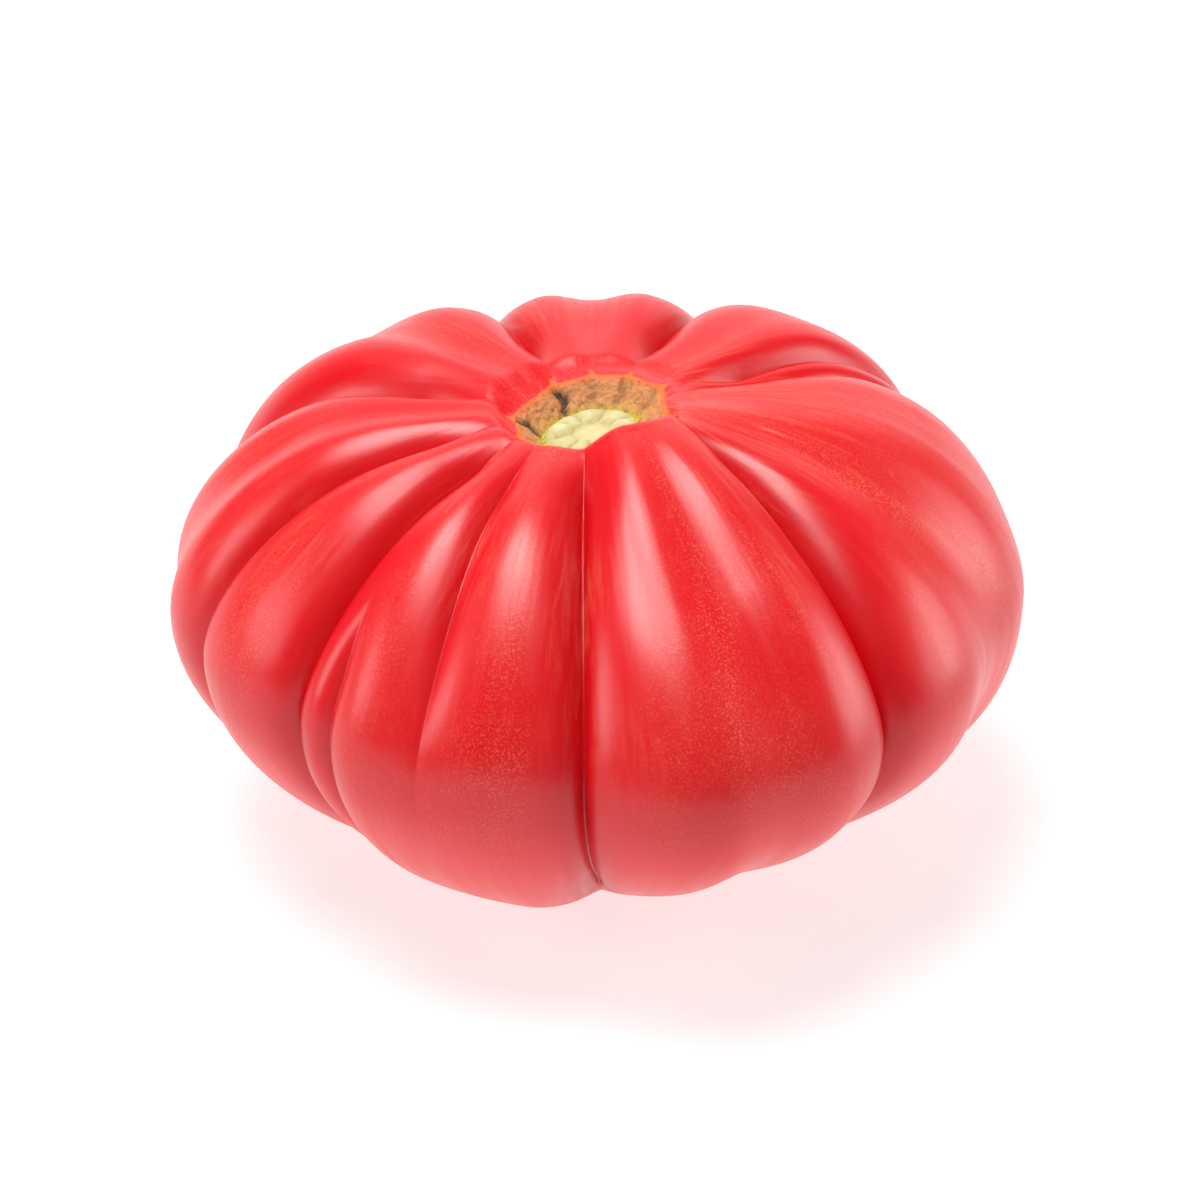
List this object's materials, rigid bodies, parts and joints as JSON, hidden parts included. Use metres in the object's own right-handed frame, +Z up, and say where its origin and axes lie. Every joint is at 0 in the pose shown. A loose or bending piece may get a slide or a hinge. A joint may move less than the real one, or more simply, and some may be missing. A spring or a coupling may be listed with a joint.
{
  "type": "tomato",
  "caption": "Ribbed beefsteak tomato as picked, pinkish red, with deep grooves between its lobes, a corky stem scar on top and a flat spot to rest on.",
  "frame": {"origin": "centre of the flat spot that the fruit rests on", "axes": "+Z up through the stem scar, -Y towards the front, where a deep groove runs down the middle"},
  "size_m": [0.1109, 0.1093, 0.066],
  "materials": {
    "skin": "smooth waxy fruit skin, pinkish red with fine golden speckles, and tan cork round the pale stem scar"
  },
  "bodies": {
    "root": {"tomato": "skin"}
  },
  "joints": []
}
